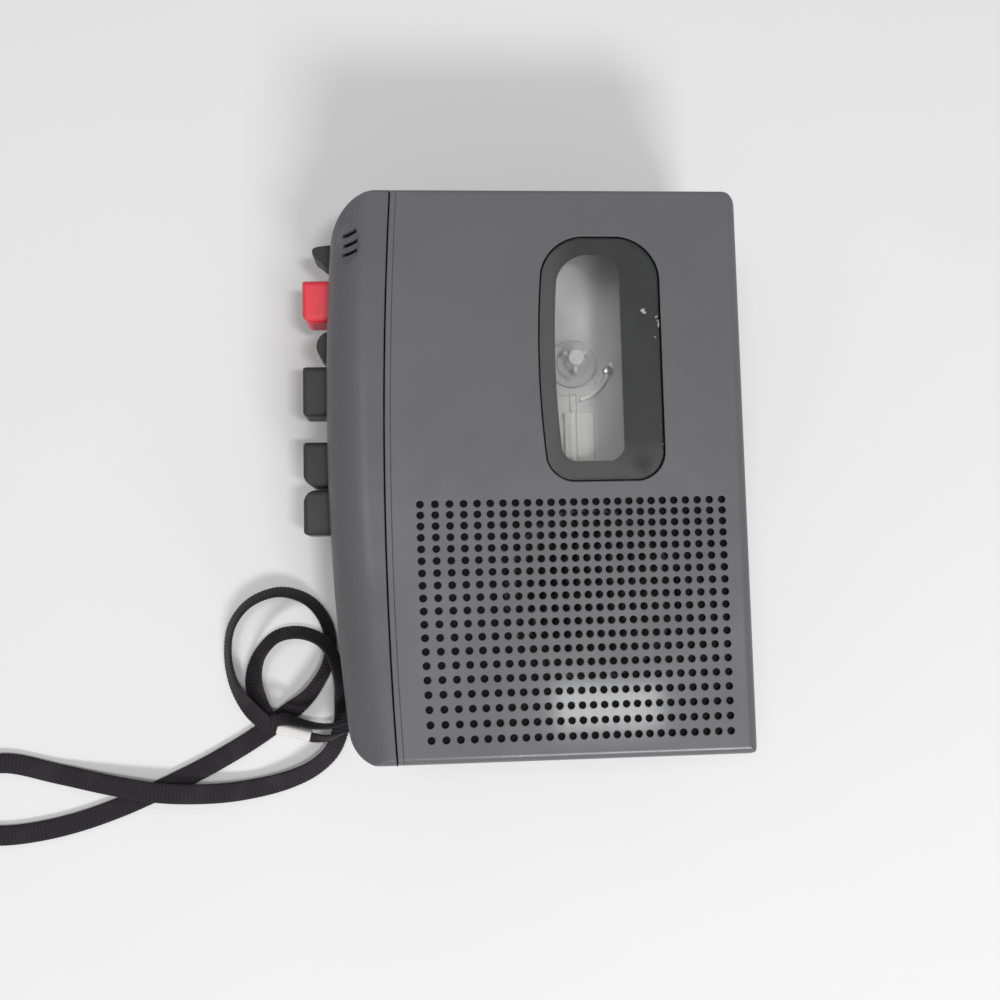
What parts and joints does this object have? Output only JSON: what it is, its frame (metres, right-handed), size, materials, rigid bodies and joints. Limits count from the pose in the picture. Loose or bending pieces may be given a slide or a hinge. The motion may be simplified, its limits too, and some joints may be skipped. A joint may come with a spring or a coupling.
{
  "type": "handheld cassette recorder",
  "caption": "Handheld cassette recorder with a hinged perforated lid and window, side keys, dials, tape drive, battery compartment and a woven wrist strap.",
  "frame": {"origin": "middle of the body and keys at the back face that it lies on", "axes": "+X to the right side with the lid hinge, +Y to the top end, +Z out of the front"},
  "size_m": [0.1719, 0.1342, 0.0365],
  "materials": {
    "body_plastic": "fine spark-eroded texture",
    "cover_plastic": "fine spark-eroded texture",
    "inner_plastic": "plain moulded",
    "key_plastic": "satin moulded",
    "record_red": "satin moulded",
    "rest_plastic": "plain moulded",
    "reel_plastic": "plain moulded",
    "window_clear": "clear moulded acrylic",
    "window_print": "dark print on the back of the window",
    "cone_paper": "pressed paper",
    "steel": "plated",
    "chrome": "polished",
    "deck_metal": "zinc-plated sheet",
    "aluminium_can": "drawn",
    "brass": "turned",
    "rubber": "ground",
    "board_laminate": "lacquered",
    "cell_sleeve": "plain printed sleeve",
    "sleeve_white": "shrunk tube",
    "strap_tape": "woven tape"
  },
  "bodies": {
    "housing": {"rear_cover": "body_plastic", "front_cabinet": "body_plastic", "battery_box": "inner_plastic", "case_screws_set": "steel", "hinge_pin_upper": "steel", "hinge_pin_lower": "steel", "key_spring": "steel", "chassis_deck": "deck_metal", "cassette_rest": "rest_plastic", "drive_motor": "steel", "drive_belt": "rubber", "volume_pot": "steel", "speed_pot": "steel", "voice_switch_base": "steel", "circuit_board": "board_laminate", "circuit_parts": "inner_plastic", "ear_jack": "inner_plastic", "mic_jack": "inner_plastic", "mic_capsule": "aluminium_can", "cell_upper": "cell_sleeve", "cell_lower": "cell_sleeve", "cell_springs": "steel", "cell_plate": "steel", "strap_pin": "steel", "strap_sleeve": "sleeve_white", "strap_webbing": "strap_tape", "strap_lanyard": "strap_tape"},
    "battery_door_body": {"battery_door": "body_plastic"},
    "record_key_body": {"record_key": "record_red"},
    "stop_key_body": {"stop_key": "key_plastic"},
    "play_key_body": {"play_key": "key_plastic"},
    "rewind_key_body": {"rewind_key": "key_plastic"},
    "fast_forward_key_body": {"fast_forward_key": "key_plastic"},
    "pause_slider_body": {"pause_slider": "key_plastic"},
    "supply_spindle_body": {"supply_spindle": "reel_plastic"},
    "takeup_spindle_body": {"takeup_spindle": "reel_plastic"},
    "motor_pulley_body": {"motor_pulley": "brass"},
    "idler_wheel_body": {"idler_wheel": "rubber"},
    "volume_dial_body": {"volume_dial": "key_plastic"},
    "speed_dial_body": {"speed_dial": "key_plastic"},
    "voice_switch_body": {"voice_switch": "key_plastic"},
    "pinch_arm_body": {"pinch_arm": "deck_metal"},
    "pinch_roller_body": {"pinch_roller": "rubber"},
    "lid": {"lid_frame": "body_plastic", "lid_cover": "cover_plastic", "window_lens": "window_clear", "window_mask": "window_print", "lid_tongue": "inner_plastic", "cassette_springs": "steel", "speaker_basket": "steel", "speaker_cone": "cone_paper", "speaker_magnet": "steel"},
    "flywheel_body": {"capstan_flywheel": "steel"},
    "head_plate_body": {"head_plate": "deck_metal", "record_play_head": "chrome", "erase_head": "inner_plastic"}
  },
  "joints": [
    {"name": "lid_hinge", "type": "hinge", "parent": "housing", "child": "lid", "pos_m": [0.0432, 0, 0.0145], "axis": [0, 1, 0], "range_deg": [0, 85]},
    {"name": "battery_door_slide", "type": "slide", "parent": "housing", "child": "battery_door_body", "axis": [0, -1, 0], "range_m": [0, 0.03]},
    {"name": "record_key_slide", "type": "slide", "parent": "housing", "child": "record_key_body", "axis": [1, 0, 0], "range_m": [0, 0.0025], "stiffness_N_per_m": 300, "deforming": ["key_spring"]},
    {"name": "stop_key_slide", "type": "slide", "parent": "housing", "child": "stop_key_body", "axis": [1, 0, 0], "range_m": [0, 0.0015], "stiffness_N_per_m": 300, "deforming": ["key_spring"]},
    {"name": "play_key_slide", "type": "slide", "parent": "housing", "child": "play_key_body", "axis": [1, 0, 0], "range_m": [0, 0.0025], "stiffness_N_per_m": 300, "deforming": ["key_spring"]},
    {"name": "rewind_key_slide", "type": "slide", "parent": "housing", "child": "rewind_key_body", "axis": [1, 0, 0], "range_m": [0, 0.0025], "stiffness_N_per_m": 300, "deforming": ["key_spring"]},
    {"name": "fast_forward_key_slide", "type": "slide", "parent": "housing", "child": "fast_forward_key_body", "axis": [1, 0, 0], "range_m": [0, 0.0025], "stiffness_N_per_m": 300, "deforming": ["key_spring"]},
    {"name": "pause_slide", "type": "slide", "parent": "housing", "child": "pause_slider_body", "axis": [0, 1, 0], "range_m": [0, 0.002]},
    {"name": "voice_switch_slide", "type": "slide", "parent": "housing", "child": "voice_switch_body", "axis": [1, 0, 0], "range_m": [0, 0.003]},
    {"name": "volume_turn", "type": "hinge", "parent": "housing", "child": "volume_dial_body", "pos_m": [0.036, 0.014, 0.0055], "axis": [0, 0, 1], "range_deg": [0, 270]},
    {"name": "speed_turn", "type": "hinge", "parent": "housing", "child": "speed_dial_body", "pos_m": [0.036, -0.006, 0.0055], "axis": [0, 0, 1], "range_deg": [0, 270]},
    {"name": "head_plate_slide", "type": "slide", "parent": "housing", "child": "head_plate_body", "axis": [1, 0, 0], "range_m": [0, 0.003]},
    {"name": "pinch_arm_swing", "type": "hinge", "parent": "housing", "child": "pinch_arm_body", "pos_m": [-0.0262, 0.0145, 0.0189], "axis": [0, 0, 1], "range_deg": [-22.6, 0]},
    {"name": "pinch_roller_spin", "type": "hinge", "parent": "pinch_arm_body", "child": "pinch_roller_body", "pos_m": [-0.0262, 0.03545, 0.0233], "axis": [0, 0, 1], "continuous": true},
    {"name": "flywheel_spin", "type": "hinge", "parent": "housing", "child": "flywheel_body", "pos_m": [-0.013, 0.03545, 0.009], "axis": [0, 0, 1], "continuous": true},
    {"name": "motor_pulley_spin", "type": "hinge", "parent": "housing", "child": "motor_pulley_body", "pos_m": [0.027, 0.0422, 0.0115], "axis": [0, 0, 1], "continuous": true},
    {"name": "idler_spin", "type": "hinge", "parent": "housing", "child": "idler_wheel_body", "pos_m": [-0.00228, 0.03122, 0.0138], "axis": [0, 0, 1], "continuous": true},
    {"name": "takeup_spin", "type": "hinge", "parent": "housing", "child": "takeup_spindle_body", "pos_m": [0.013, 0.0252, 0.017], "axis": [0, 0, 1], "continuous": true},
    {"name": "supply_spin", "type": "hinge", "parent": "housing", "child": "supply_spindle_body", "pos_m": [0.013, -0.0173, 0.017], "axis": [0, 0, 1], "continuous": true}
  ],
  "couplings": [
    {"joint": "play_key_slide", "follows": "head_plate_slide", "ratio": 0.83333},
    {"joint": "pinch_arm_swing", "follows": "head_plate_slide", "rad_per_m": -130.9},
    {"joint": "motor_pulley_spin", "follows": "flywheel_spin", "ratio": 5},
    {"joint": "idler_spin", "follows": "flywheel_spin", "ratio": -0.80337},
    {"joint": "takeup_spin", "follows": "flywheel_spin", "ratio": 0.50505}
  ]
}
